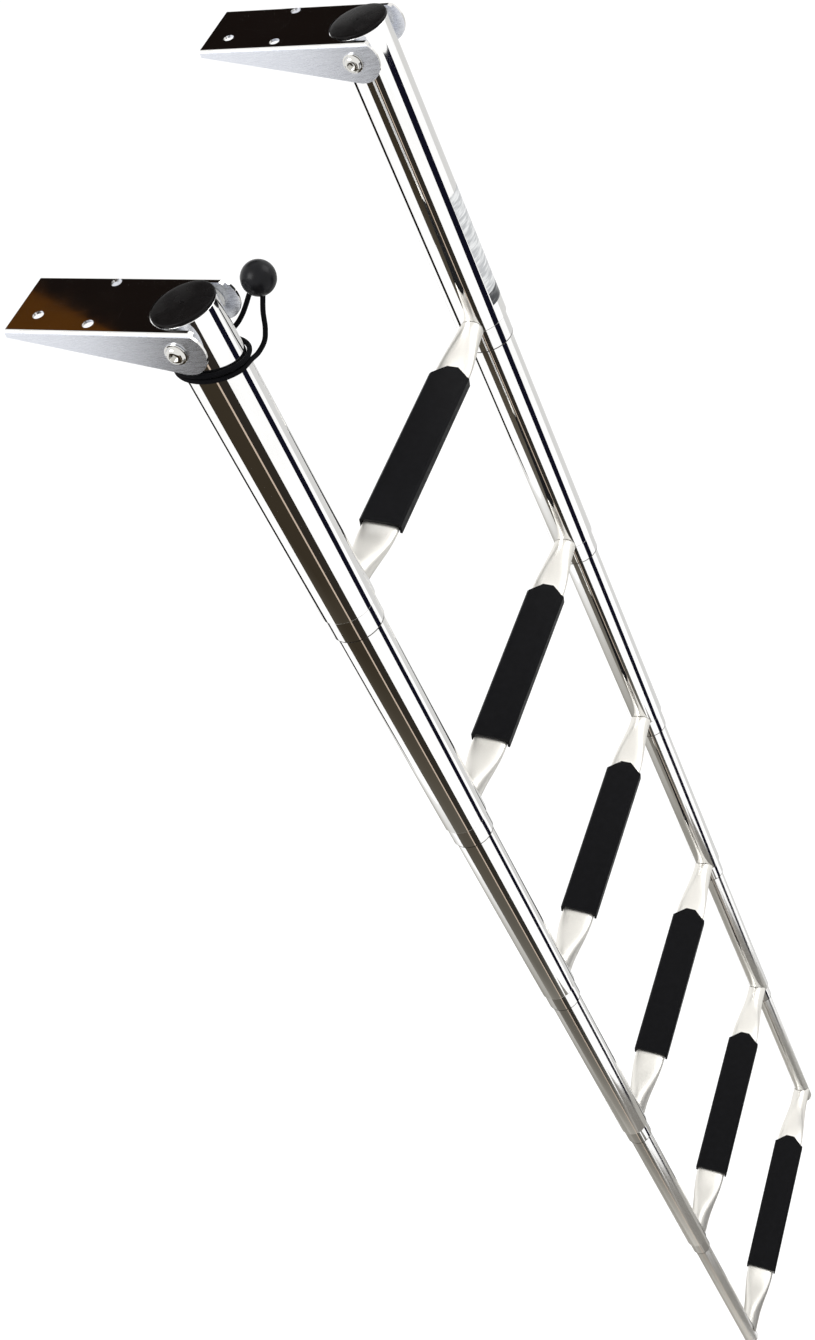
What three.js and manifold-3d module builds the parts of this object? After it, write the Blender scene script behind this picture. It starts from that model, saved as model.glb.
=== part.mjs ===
// Telescoping boat boarding ladder: six nested tube sections on each side, each with a step,
// hung from two folded channel brackets. Millimetres, +Z up, X along the hinge line.
// Y points inboard, towards the boat. The origin lies midway between the brackets, on the
// sloping plane of their top faces, straight above the hinge line.
import * as THREE from "three";
import { mergeVertices } from "three/addons/utils/BufferGeometryUtils.js";
import Module from "manifold-3d";

const wasm = await Module();
wasm.setup();

// Rails
const RAIL_SPACING = 372;
const TUBE_OD = [50.8, 44.5, 38.1, 31.8, 25.4, 19.1];
const WALL = 1.2;
const GAP = 0.3;
const FIRST_LENGTH = 312;
const PITCH = 292;
const LAST_PITCH = 300;
const OVERLAP = 45;
const ROUND = 24;

// Collars at the lips, and the guide rings inside
const COLLAR_BELOW = 24.6;
const COLLAR_INSIDE = 26;
const GUIDE_LENGTH = 15;

// Steps
const RUNG_R = 11.1;
const RUNG_ABOVE_LIP = 4;
const LAST_RUNG_ABOVE_END = 20;
const RUNG_SIDES = 18;
const FLAT_HALF_LENGTH = 102;
const SWELL_LENGTH = 63;
const FLAT_HALF_WIDTH = 17;
const FLAT_HALF_THICK = 4;
const FLAT_DROP = 5.2;
const STEP_TILT = THREE.MathUtils.degToRad(14.5);
const STEP_INBOARD = 1;
const TREAD_LENGTH = 192;
const TREAD_THICK = 2.6;
const TREAD_LIP = 2.2;
const TREAD_DEPTH = 10.9;
const TREAD_CHAMFER = 2;
const TONGUE = 11;

// Brackets, drawn with the plate flat and then sloped about the hinge line
const PLATE_SLOPE = THREE.MathUtils.degToRad(7.2);
const PLATE_RISE = 17;
const SHEET = 2.2;
const MOUTH_R = 27;
const MOUTH_CENTRE = 1.5;
const PLATE_END = 141.5;
const CHEEK_INSIDE = 30.5;
const FOLD_R = 3;
const LOBE_R = 19.5;
const LOBE_OFFSET = -4.5;
const TIP_DEPTH = 6;
const SCREW_R = 4.5;
const SCREWS = [
  [-13, 121],
  [-22, 73],
  [26, 72],
];

// Hinge hardware
const BOLT_DEPTH = 17;
const SHANK_R = 4.8;
const HEAD_R = 9;
const HEAD_HEIGHT = 5;
const SOCKET_R = 3;
const SOCKET_DEPTH = 2.6;
const NUT_R = 9;
const NUT_HEIGHT = 7;
const WASHER_R = 12;

// Black end caps, and the plugs of the lowest tubes
const CAP_R = 25.8;
const CAP_RIM = 2.8;
const CAP_CROWN = 1;
const CAP_STEM = 8;
const PLUG_HEIGHT = 4.5;
const PLUG_STEM = 8;

// Bungee: one cord from the ball, twice round the left tube and back to the ball
const CORD_R = 2;
const CORD_STEPS = 78;
const BALL_R = 13.5;
const BALL_AT = [-149.3, -43.7, -8.5];
const WRAP_R = 27.9;
const WRAP_Z = -52.1;
const WRAP_PITCH = 4.8;
const WRAP_LEAN_X = -3.6;
const WRAP_LEAN_Y = 4.3;
const WRAP_START = -80;
const WRAP_TURNS = 1.75;
const WRAP_POINTS_PER_TURN = 12;
const CORD_TO_TUBE = [
  [-151.6, -41.6, -22.6],
  [-155, -37.8, -34],
  [-158, -34.6, -47.4],
  [-161.4, -31, -56.2],
  [-169, -27.6, -59.8],
];
const CORD_TO_BALL = [
  [-157.2, -3.4, -46.4],
  [-154, -9.4, -43.6],
  [-150.4, -15, -38.6],
  [-147.8, -20.8, -31.6],
  [-146.8, -26.6, -24.2],
  [-147.3, -32.7, -17.9],
];

const HINGE_Z = -PLATE_RISE / Math.cos(PLATE_SLOPE);
const TUBE_TOP = HINGE_Z + BOLT_DEPTH;
const SIDES = { left: -RAIL_SPACING / 2, right: RAIL_SPACING / 2 };

const steel = { color: 0xd4d6d8, roughness: 0.12, metalness: 1 };
const brushed = { color: 0xb9bcc0, roughness: 0.35, metalness: 1 };
const satin = { color: 0xc9c6bf, roughness: 0.3, metalness: 1 };
const black = { color: 0x17181a, roughness: 0.45, metalness: 0 };
const rubber = { color: 0x111113, roughness: 0.6, metalness: 0 };
const nylon = { color: 0xe6e6e2, roughness: 0.5, metalness: 0 };

const ladder = new THREE.Group();

function addPart(name, geometry, finish) {
  const mesh = new THREE.Mesh(geometry, new THREE.MeshStandardMaterial(finish));
  mesh.name = name;
  ladder.add(mesh);
}

// Booleans: a geometry becomes a solid, and a solid a geometry.
function toSolid(geometry) {
  const bare = geometry.index ? geometry.toNonIndexed() : geometry.clone();
  bare.deleteAttribute("normal");
  bare.deleteAttribute("uv");
  const merged = mergeVertices(bare, 1e-4);
  return new wasm.Manifold(
    new wasm.Mesh({
      numProp: 3,
      vertProperties: merged.attributes.position.array,
      triVerts: new Uint32Array(merged.index.array),
    }),
  );
}

function toGeometry(solid) {
  const mesh = solid.getMesh();
  const geometry = new THREE.BufferGeometry();
  geometry.setAttribute("position", new THREE.BufferAttribute(mesh.vertProperties, 3));
  geometry.setIndex(new THREE.BufferAttribute(mesh.triVerts, 1));
  geometry.computeVertexNormals();
  return geometry;
}

// A solid of revolution about a vertical line, from [radius, height] points.
function turned(points, segments = ROUND) {
  const profile = points.map(([r, z]) => new THREE.Vector2(r, z));
  return new THREE.LatheGeometry(profile, segments).rotateX(Math.PI / 2);
}

// The same about a line along X, with height running towards -X.
function turnedAlongX(points, segments = ROUND) {
  const profile = points.map(([r, z]) => new THREE.Vector2(r, z));
  return new THREE.LatheGeometry(profile, segments).rotateZ(Math.PI / 2);
}

function sleeve(outer, inner, low, high) {
  return [
    [inner, low],
    [outer, low],
    [outer, high],
    [inner, high],
    [inner, low],
  ];
}

function rod(radius, low, high) {
  return [
    [0, low],
    [radius, low],
    [radius, high],
    [0, high],
  ];
}

function outline(points) {
  return new THREE.Shape(points.map(([x, y]) => new THREE.Vector2(x, y)));
}

// Heights along the rails
function lipZ(section) {
  const passed = Math.min(section, 4) * PITCH + (section === 5 ? LAST_PITCH : 0);
  return TUBE_TOP - FIRST_LENGTH - passed;
}

function tubeTopZ(section) {
  return section === 0 ? TUBE_TOP : lipZ(section - 1) + OVERLAP;
}

function rungZ(section) {
  return lipZ(section) + (section === 5 ? LAST_RUNG_ABOVE_END : RUNG_ABOVE_LIP);
}

function addTube(side, section) {
  const outer = TUBE_OD[section] / 2;
  const profile = sleeve(outer, outer - WALL, lipZ(section), tubeTopZ(section));
  let tube = turned(profile).translate(SIDES[side], 0, 0);
  if (section === 0) {
    const hole = turnedAlongX(rod(SHANK_R + GAP, -40, 40));
    hole.translate(SIDES[side], 0, HINGE_Z);
    tube = toGeometry(toSolid(tube).subtract(toSolid(hole)));
  }
  addPart(`${side}_tube_${section + 1}`, tube, steel);
}

// The sleeves that fill the space between a tube and the next smaller one.
function spacer(section, low, high) {
  const outer = TUBE_OD[section] / 2 - WALL - GAP;
  const inner = TUBE_OD[section + 1] / 2 + GAP;
  return turned(sleeve(outer, inner, low, high));
}

function addCollar(side, section) {
  const lip = lipZ(section);
  const collar = spacer(section, lip - COLLAR_BELOW, lip + COLLAR_INSIDE);
  const place = collar.translate(SIDES[side], 0, 0);
  addPart(`${side}_collar_${section + 1}`, place, steel);
}

function addGuide(side, section) {
  const top = tubeTopZ(section);
  const guide = spacer(section - 1, top - GUIDE_LENGTH, top);
  addPart(`${side}_guide_${section + 1}`, guide.translate(SIDES[side], 0, 0), nylon);
}

// A closed skin through rings of points, with flat ends.
function loft(rings) {
  const sides = rings[0].length;
  const vertices = rings.flat();
  const faces = [];
  for (let i = 0; i + 1 < rings.length; i++) {
    for (let j = 0; j < sides; j++) {
      const a = i * sides + j;
      const b = i * sides + ((j + 1) % sides);
      faces.push(a, b, b + sides, a, b + sides, a + sides);
    }
  }
  const last = (rings.length - 1) * sides;
  for (let j = 1; j + 1 < sides; j++) {
    faces.push(0, j + 1, j, last, last + j, last + j + 1);
  }
  const geometry = new THREE.BufferGeometry();
  geometry.setAttribute("position", new THREE.Float32BufferAttribute(vertices.flat(), 3));
  geometry.setIndex(faces);
  return geometry;
}

// One ring of the rung: round where flat = 0, pressed wide and low where flat = 1.
function rungRing(x, flat) {
  const halfWidth = THREE.MathUtils.lerp(RUNG_R, FLAT_HALF_WIDTH, flat);
  const halfThick = THREE.MathUtils.lerp(RUNG_R, FLAT_HALF_THICK, flat);
  const power = 1 / THREE.MathUtils.lerp(1, 1.7, flat);
  const ring = [];
  for (let j = 0; j < RUNG_SIDES; j++) {
    const angle = (2 * Math.PI * j) / RUNG_SIDES;
    const c = Math.cos(angle);
    const s = Math.sin(angle);
    const y = halfWidth * Math.sign(c) * Math.abs(c) ** power + STEP_INBOARD * flat;
    const z = halfThick * Math.sign(s) * Math.abs(s) ** power - FLAT_DROP * flat;
    ring.push([x, y, z]);
  }
  return ring;
}

function addRung(section) {
  const reach = RAIL_SPACING / 2 - TUBE_OD[section] / 4;
  const half = [
    [reach, 0],
    [FLAT_HALF_LENGTH + SWELL_LENGTH, 0],
    [FLAT_HALF_LENGTH + 0.8 * SWELL_LENGTH, 0.1],
    [FLAT_HALF_LENGTH + 0.6 * SWELL_LENGTH, 0.35],
    [FLAT_HALF_LENGTH + 0.4 * SWELL_LENGTH, 0.65],
    [FLAT_HALF_LENGTH + 0.2 * SWELL_LENGTH, 0.9],
    [FLAT_HALF_LENGTH + 0.08 * SWELL_LENGTH, 0.984],
    [FLAT_HALF_LENGTH, 1],
  ];
  const stations = [...half.map(([x, flat]) => [-x, flat]), ...half.reverse()];
  const skin = loft(stations.map(([x, flat]) => rungRing(x, flat)));
  let rung = toSolid(skin.rotateX(STEP_TILT).translate(0, 0, rungZ(section)));
  const radius = TUBE_OD[section] / 2 + GAP;
  const low = lipZ(section) - 60;
  for (const x of Object.values(SIDES)) {
    const cutter = turned(rod(radius, low, low + 160)).translate(x, 0, 0);
    rung = rung.subtract(toSolid(cutter));
  }
  addPart(`rung_${section + 1}`, toGeometry(rung), satin);
}

// The cover snapped on the flat of a rung: a channel with lips along both edges, its plan
// square at one end and drawn out into a short tongue at the other.
function addTread(section) {
  const inside = FLAT_HALF_WIDTH + GAP;
  const outside = inside + TREAD_LIP;
  const under = FLAT_HALF_THICK - FLAT_DROP + GAP;
  const top = under + TREAD_THICK;
  const low = top - TREAD_DEPTH;
  const channel = outline([
    [-outside, low],
    [-inside, low],
    [-inside, under],
    [inside, under],
    [inside, low],
    [outside, low],
    [outside, top - TREAD_CHAMFER],
    [outside - TREAD_CHAMFER, top],
    [TREAD_CHAMFER - outside, top],
    [-outside, top - TREAD_CHAMFER],
  ]);
  const end = TREAD_LENGTH / 2;
  const plan = outline([
    [-end, -outside - 5],
    [end, -outside - 5],
    [end, 0.9 * -outside],
    [end + TONGUE, -5.5],
    [end + TONGUE, 5.5],
    [end, 0.9 * outside],
    [end, outside + 5],
    [-end, outside + 5],
  ]);
  const bar = new THREE.ExtrudeGeometry(channel, { depth: 2 * TREAD_LENGTH, bevelEnabled: false });
  bar.rotateY(Math.PI / 2).rotateX(Math.PI / 2).translate(-TREAD_LENGTH, 0, 0);
  const cut = new THREE.ExtrudeGeometry(plan, { depth: 40, bevelEnabled: false });
  const cover = toSolid(bar).intersect(toSolid(cut.translate(0, 0, -20)));
  const tread = toGeometry(cover).translate(0, STEP_INBOARD, 0).rotateX(STEP_TILT);
  addPart(`tread_${section + 1}`, tread.translate(0, 0, rungZ(section)), black);
}

// Side view of a bracket about the hinge line: along the plate, and square to it.
function cheekOutline() {
  const drop = PLATE_RISE - TIP_DEPTH;
  const reach = PLATE_END - LOBE_OFFSET;
  const rise = Math.asin(PLATE_RISE / LOBE_R);
  const tangent = Math.atan2(drop, reach) - Math.acos(LOBE_R / Math.hypot(reach, drop));
  const shape = new THREE.Shape();
  shape.moveTo(PLATE_END, PLATE_RISE);
  shape.lineTo(LOBE_OFFSET - LOBE_R * Math.cos(rise), PLATE_RISE);
  shape.absarc(LOBE_OFFSET, 0, LOBE_R, Math.PI - rise, 2 * Math.PI + tangent, false);
  shape.lineTo(PLATE_END, drop);
  return shape;
}

function channelSection() {
  const outer = CHEEK_INSIDE + SHEET;
  const low = -LOBE_R - 5;
  const shape = new THREE.Shape();
  shape.moveTo(-outer, low);
  shape.lineTo(-CHEEK_INSIDE, low);
  shape.lineTo(-CHEEK_INSIDE, PLATE_RISE - SHEET);
  shape.lineTo(CHEEK_INSIDE, PLATE_RISE - SHEET);
  shape.lineTo(CHEEK_INSIDE, low);
  shape.lineTo(outer, low);
  shape.lineTo(outer, PLATE_RISE - FOLD_R);
  shape.absarc(outer - FOLD_R, PLATE_RISE - FOLD_R, FOLD_R, 0, Math.PI / 2, false);
  shape.lineTo(FOLD_R - outer, PLATE_RISE);
  shape.absarc(FOLD_R - outer, PLATE_RISE - FOLD_R, FOLD_R, Math.PI / 2, Math.PI, false);
  return shape;
}

function extruded(shape, depth, curveSegments) {
  return new THREE.ExtrudeGeometry(shape, { depth, bevelEnabled: false, curveSegments });
}

// Plan of the notch that lets the rail and its cap through the plate.
function mouthOutline() {
  const shape = new THREE.Shape();
  shape.moveTo(-MOUTH_R, -80);
  shape.lineTo(MOUTH_R, -80);
  shape.lineTo(MOUTH_R, MOUTH_CENTRE);
  shape.absarc(0, MOUTH_CENTRE, MOUTH_R, 0, Math.PI, false);
  return shape;
}

function addBracket(side) {
  const width = 2 * (CHEEK_INSIDE + SHEET + 2);
  const length = PLATE_END + 3 * LOBE_R;
  const channel = extruded(channelSection(), length, 5);
  channel.rotateX(Math.PI / 2).translate(0, length - 1.5 * LOBE_R, 0);
  const profile = extruded(cheekOutline(), width, 18);
  profile.rotateX(Math.PI / 2).rotateZ(Math.PI / 2).translate(-width / 2, 0, 0);
  const mouth = extruded(mouthOutline(), 20, 24).translate(0, 0, PLATE_RISE - 10);
  const pin = turnedAlongX(rod(SHANK_R + GAP, -width, width));
  let bracket = toSolid(channel).intersect(toSolid(profile));
  bracket = bracket.subtract(toSolid(mouth)).subtract(toSolid(pin));
  for (const [across, along] of SCREWS) {
    const hole = turned(rod(SCREW_R, 0, 2 * PLATE_RISE), 16).translate(across, along, 0);
    bracket = bracket.subtract(toSolid(hole));
  }
  const placed = toGeometry(bracket).rotateX(PLATE_SLOPE).translate(SIDES[side], 0, HINGE_Z);
  addPart(`${side}_bracket`, placed, brushed);
}

function addHingeHardware(side) {
  const face = CHEEK_INSIDE + SHEET + GAP;
  const tip = -face - NUT_HEIGHT - 1.5;
  const place = (geometry) => geometry.translate(SIDES[side], 0, HINGE_Z);
  const bolt = [
    [0, tip],
    [SHANK_R, tip],
    [SHANK_R, face],
    [HEAD_R, face],
    [HEAD_R, face + 1.2],
    [HEAD_R - 1.2, face + 1.5],
    [HEAD_R - 2.4, face + 3.4],
    [SOCKET_R + 1.4, face + HEAD_HEIGHT],
    [SOCKET_R, face + HEAD_HEIGHT],
    [SOCKET_R, face + HEAD_HEIGHT - SOCKET_DEPTH],
    [0, face + HEAD_HEIGHT - SOCKET_DEPTH],
  ];
  addPart(`${side}_hinge_bolt`, place(turnedAlongX(bolt)), steel);

  const hexagon = turnedAlongX(rod(NUT_R, -face - NUT_HEIGHT, -face), 6);
  const thread = turnedAlongX(rod(SHANK_R + GAP, -60, 0));
  const nut = toSolid(hexagon).subtract(toSolid(thread));
  addPart(`${side}_hinge_nut`, place(toGeometry(nut)), steel);

  const near = TUBE_OD[0] / 2 + GAP;
  const far = CHEEK_INSIDE - GAP;
  const bore = SHANK_R + GAP;
  const head = turnedAlongX(sleeve(WASHER_R, bore, near, far));
  const tail = turnedAlongX(sleeve(WASHER_R, bore, -far, -near));
  addPart(`${side}_head_washer`, place(head), nylon);
  addPart(`${side}_nut_washer`, place(tail), nylon);
}

function addTopCap(side) {
  const base = TUBE_TOP + GAP;
  const top = base + CAP_RIM;
  const stem = TUBE_OD[0] / 2 - WALL - GAP;
  const profile = [
    [0, base - 2],
    [stem - 2, base - 2],
    [stem - 2, base - CAP_STEM],
    [stem, base - CAP_STEM],
    [stem, base],
    [CAP_R, base],
    [CAP_R, top - 0.8],
    [CAP_R - 0.8, top],
    [CAP_R / 2, top + CAP_CROWN],
    [2, top + CAP_CROWN],
    [0, top + CAP_CROWN - 1],
  ];
  addPart(`${side}_top_cap`, turned(profile).translate(SIDES[side], 0, 0), black);
}

function addEndPlug(side) {
  const end = lipZ(5) - GAP;
  const outer = TUBE_OD[5] / 2;
  const stem = outer - WALL - GAP;
  const profile = [
    [0, end - PLUG_HEIGHT],
    [outer * 0.45, end - PLUG_HEIGHT * 0.9],
    [outer * 0.8, end - PLUG_HEIGHT * 0.6],
    [outer, end],
    [stem, end],
    [stem, end + PLUG_STEM],
    [0, end + PLUG_STEM],
  ];
  addPart(`${side}_end_plug`, turned(profile).translate(SIDES[side], 0, 0), steel);
}

// A point of the coil round the left tube, which leans a little and rises turn by turn.
function wrapPoint(turns) {
  const angle = THREE.MathUtils.degToRad(WRAP_START - 360 * turns);
  const x = Math.cos(angle);
  const y = Math.sin(angle);
  const lean = WRAP_LEAN_X * x + WRAP_LEAN_Y * y;
  return [SIDES.left + WRAP_R * x, WRAP_R * y, WRAP_Z + lean + WRAP_PITCH * turns];
}

function addBungee() {
  const coil = [];
  for (let i = 0; i <= WRAP_TURNS * WRAP_POINTS_PER_TURN; i++) {
    coil.push(wrapPoint(i / WRAP_POINTS_PER_TURN));
  }
  const points = [...CORD_TO_TUBE, ...coil, ...CORD_TO_BALL];
  const route = new THREE.CatmullRomCurve3(
    points.map(([x, y, z]) => new THREE.Vector3(x, y, z)),
    false,
    "centripetal",
  );
  const section = new THREE.Shape();
  section.absarc(0, 0, CORD_R, 0, 2 * Math.PI, false);
  const cord = new THREE.ExtrudeGeometry(section, {
    steps: CORD_STEPS,
    extrudePath: route,
    curveSegments: 4,
    bevelEnabled: false,
  });
  addPart("bungee_cord", cord, rubber);
  const ball = new THREE.SphereGeometry(BALL_R, 20, 14).translate(...BALL_AT);
  addPart("bungee_ball", ball, black);
}

for (const side of Object.keys(SIDES)) {
  addBracket(side);
  addHingeHardware(side);
  addTopCap(side);
  addEndPlug(side);
  for (let section = 0; section < TUBE_OD.length; section++) {
    addTube(side, section);
    if (section > 0) addGuide(side, section);
    if (section < 5) addCollar(side, section);
  }
}
for (let section = 0; section < TUBE_OD.length; section++) {
  addRung(section);
  addTread(section);
}
addBungee();

export default ladder;
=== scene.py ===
"""Looks of the telescoping boarding ladder: each CAD solid gets a smooth, finished piece.

Metres, +Z up, X along the hinge line, Y inboard along the brackets.
"""

import math

import bmesh
import bpy
from mathutils import Matrix, Vector


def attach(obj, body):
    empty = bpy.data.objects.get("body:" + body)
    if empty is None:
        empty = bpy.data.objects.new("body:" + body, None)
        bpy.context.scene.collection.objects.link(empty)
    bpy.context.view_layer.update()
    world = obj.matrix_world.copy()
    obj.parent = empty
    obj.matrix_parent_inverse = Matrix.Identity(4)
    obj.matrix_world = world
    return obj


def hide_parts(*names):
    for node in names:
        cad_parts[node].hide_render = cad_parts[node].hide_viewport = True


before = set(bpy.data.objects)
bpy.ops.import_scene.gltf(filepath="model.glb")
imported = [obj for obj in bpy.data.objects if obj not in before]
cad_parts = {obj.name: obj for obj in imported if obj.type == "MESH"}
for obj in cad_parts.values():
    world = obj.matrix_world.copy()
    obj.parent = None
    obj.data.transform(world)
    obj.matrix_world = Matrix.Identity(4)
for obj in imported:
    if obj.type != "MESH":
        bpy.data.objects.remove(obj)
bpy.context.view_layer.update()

MM = 0.001
RAIL_X = {"left": -0.186, "right": 0.186}
TUBE_OD = [0.0508, 0.0445, 0.0381, 0.0318, 0.0254, 0.0191]
WALL = 1.2 * MM
GAP = 0.3 * MM
FIRST_LENGTH = 0.312
PITCH = 0.292
RAIL_LENGTH = 1.78
OVERLAP = 0.045
COLLAR_BELOW = 24.6 * MM
COLLAR_INSIDE = 26 * MM
GUIDE_LENGTH = 15 * MM
SHANK_R = 4.8 * MM
BORE_R = SHANK_R + GAP
BOLT_DEPTH = 0.017
PLATE_SLOPE = math.radians(7.2)
PLATE_RISE = 0.017
HINGE_Z = -PLATE_RISE / math.cos(PLATE_SLOPE)
TUBE_TOP = HINGE_Z + BOLT_DEPTH
LIPS = [TUBE_TOP - FIRST_LENGTH - PITCH * k for k in range(5)] + [TUBE_TOP - RAIL_LENGTH]
RUNG_ABOVE_LIP = 4 * MM
LAST_RUNG_ABOVE_END = 20 * MM
RUNG_Z = [lip + RUNG_ABOVE_LIP for lip in LIPS[:5]] + [LIPS[5] + LAST_RUNG_ABOVE_END]
STEP_TILT = math.radians(14.5)
STEP_INBOARD = 0.001
SECTIONS = range(1, 7)
AROUND = 96


# Camera, at the photographed viewing angle

camera_data = bpy.data.cameras.new("camera")
camera_data.sensor_fit = "HORIZONTAL"
camera_data.sensor_width = 36
camera_data.lens = 80.45
camera_data.clip_end = 60
camera = bpy.data.objects.new("camera", camera_data)
bpy.context.scene.collection.objects.link(camera)
forward = Vector((0.5747, 0.4798, -0.6629)).normalized()
image_up = Vector((0.7517, 0.0106, 0.6594))
image_right = forward.cross(image_up).normalized()
image_up = image_right.cross(forward).normalized()
turn = Matrix((image_right, image_up, -forward)).transposed().to_4x4()
camera.matrix_world = Matrix.Translation((-1.0853, -0.7738, 0.6399)) @ turn
bpy.context.scene.camera = camera


# Mesh helpers


def new_object(name, mesh, smooth_angle=35):
    bm = bmesh.new()
    bm.from_mesh(mesh)
    bmesh.ops.recalc_face_normals(bm, faces=bm.faces)
    bm.to_mesh(mesh)
    bm.free()
    mesh.shade_smooth()
    mesh.set_sharp_from_angle(angle=math.radians(smooth_angle))
    obj = bpy.data.objects.new(name, mesh)
    bpy.context.scene.collection.objects.link(obj)
    return obj


def mesh_from(name, verts, faces):
    mesh = bpy.data.meshes.new(name)
    mesh.from_pydata([tuple(v) for v in verts], [], faces)
    return mesh


def rounded(points, radius, steps=4):
    """A closed outline with its corners rounded."""
    out = []
    count = len(points)
    for i in range(count):
        corner = Vector(points[i])
        before = Vector(points[i - 1]) - corner
        after = Vector(points[(i + 1) % count]) - corner
        reach = min(radius, 0.45 * before.length, 0.45 * after.length)
        a = corner + before.normalized() * reach
        b = corner + after.normalized() * reach
        for s in range(steps + 1):
            t = s / steps
            out.append(a * (1 - t) ** 2 + corner * 2 * t * (1 - t) + b * t * t)
    return [tuple(p) for p in out]


def lathe(name, profile, x=0.0, y=0.0, axis="Z", at=None, segments=AROUND):
    """Turns [radius, height] points about a line along axis. Points on the line close it."""
    rings = []
    verts = []
    for r, h in profile:
        if r < 1e-7:
            rings.append([len(verts)])
            verts.append(Vector((0, 0, h)))
            continue
        ring = []
        for j in range(segments):
            a = 2 * math.pi * j / segments
            ring.append(len(verts))
            verts.append(Vector((r * math.cos(a), r * math.sin(a), h)))
        rings.append(ring)
    faces = []
    closed = len(rings[0]) > 1
    pairs = list(zip(rings, rings[1:])) + ([(rings[-1], rings[0])] if closed else [])
    for low, high in pairs:
        for j in range(segments):
            k = (j + 1) % segments
            if len(low) == 1 and len(high) == 1:
                break
            if len(low) == 1:
                faces.append((low[0], high[j], high[k]))
            elif len(high) == 1:
                faces.append((low[j], low[k], high[0]))
            else:
                faces.append((low[j], low[k], high[k], high[j]))
    if axis == "X":
        verts = [Vector((-v.z, v.y, v.x)) for v in verts]
    place = Vector(at) if at else Vector((x, y, 0))
    return new_object(name, mesh_from(name, [v + place for v in verts], faces))


def rod(radius, low, high):
    """Profile of a plain rod, for lathe."""
    return [(0, low), (radius, low), (radius, high), (0, high)]


def prism(name, outline, low, high, axis="Z"):
    """A straight solid of an outline: along Z as (x, y), along X as (y, z), along Y as (x, z)."""
    count = len(outline)
    verts = []
    for h in (low, high):
        for a, b in outline:
            verts.append({"Z": (a, b, h), "X": (h, a, b), "Y": (a, h, b)}[axis])
    faces = [tuple(range(count)), tuple(range(2 * count - 1, count - 1, -1))]
    for i in range(count):
        j = (i + 1) % count
        faces.append((i, j, count + j, count + i))
    return new_object(name, mesh_from(name, verts, faces))


def applied(obj):
    """Bakes an object's modifiers into its mesh."""
    depsgraph = bpy.context.evaluated_depsgraph_get()
    mesh = bpy.data.meshes.new_from_object(obj.evaluated_get(depsgraph))
    obj.modifiers.clear()
    obj.data = mesh
    return obj


def combine(obj, tool, operation="DIFFERENCE"):
    modifier = obj.modifiers.new("cut", "BOOLEAN")
    modifier.operation = operation
    modifier.solver = "EXACT"
    modifier.object = tool
    applied(obj)
    bpy.data.objects.remove(tool)
    return obj


def bevelled(obj, width, segments=2, angle=30, smooth_angle=40):
    modifier = obj.modifiers.new("bevel", "BEVEL")
    modifier.width = width
    modifier.segments = segments
    modifier.limit_method = "ANGLE"
    modifier.angle_limit = math.radians(angle)
    modifier.use_clamp_overlap = True
    applied(obj)
    obj.data.shade_smooth()
    obj.data.set_sharp_from_angle(angle=math.radians(smooth_angle))
    even = obj.modifiers.new("even", "WEIGHTED_NORMAL")
    even.weight = 100
    even.keep_sharp = True
    return applied(obj)


def moved(obj, matrix):
    obj.data.transform(matrix)
    return obj


def copied(obj, name, offset):
    twin = bpy.data.objects.new(name, obj.data.copy())
    bpy.context.scene.collection.objects.link(twin)
    twin.data.transform(Matrix.Translation(offset))
    return twin


def finish_piece(obj, body, node, material):
    obj.data.materials.clear()
    obj.data.materials.append(material)
    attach(obj, body)
    if node:
        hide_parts(node)
    return obj


# Materials


class Shader:
    """A principled material with short calls for the nodes that feed it."""

    def __init__(self, name, color, metallic=0.0, roughness=0.5, **sockets):
        self.material = bpy.data.materials.new(name)
        self.material.use_nodes = True
        self.tree = self.material.node_tree
        self.bsdf = self.tree.nodes["Principled BSDF"]
        self.set("Base Color", (*color, 1))
        self.set("Metallic", metallic)
        self.set("Roughness", roughness)
        for key, value in sockets.items():
            self.set(key.replace("_", " "), value)
        self.coord = self.tree.nodes.new("ShaderNodeTexCoord")

    def set(self, socket, value):
        self.bsdf.inputs[socket].default_value = value

    def node(self, kind, inputs=None, **settings):
        node = self.tree.nodes.new("ShaderNode" + kind)
        for key, value in settings.items():
            setattr(node, key, value)
        for key, value in (inputs or {}).items():
            if isinstance(value, bpy.types.NodeSocket):
                self.tree.links.new(value, node.inputs[key])
            else:
                node.inputs[key].default_value = value
        return node

    def noise(self, scale, stretch=(1, 1, 1), detail=4):
        """Noise over the piece in its own metres; stretch above 1 makes it finer that way."""
        mapping = self.node("Mapping", {"Vector": self.coord.outputs["Object"], "Scale": stretch})
        inputs = {"Vector": mapping.outputs[0], "Scale": scale, "Detail": detail}
        return self.node("TexNoise", inputs).outputs["Fac"]

    def ramp(self, factor, *stops):
        """Maps a factor to grey or colour stops, each (position, value)."""
        node = self.node("ValToRGB", {"Fac": factor})
        elements = node.color_ramp.elements
        while len(elements) < len(stops):
            elements.new(0.5)
        for element, (position, value) in zip(elements, stops):
            element.position = position
            color = value if isinstance(value, tuple) else (value, value, value)
            element.color = (*color, 1)
        return node.outputs["Color"]

    def feed(self, socket, output):
        self.tree.links.new(output, self.bsdf.inputs[socket])

    def bump(self, height, strength, distance):
        inputs = {"Height": height, "Strength": strength, "Distance": distance}
        self.feed("Normal", self.node("Bump", inputs).outputs["Normal"])


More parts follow.
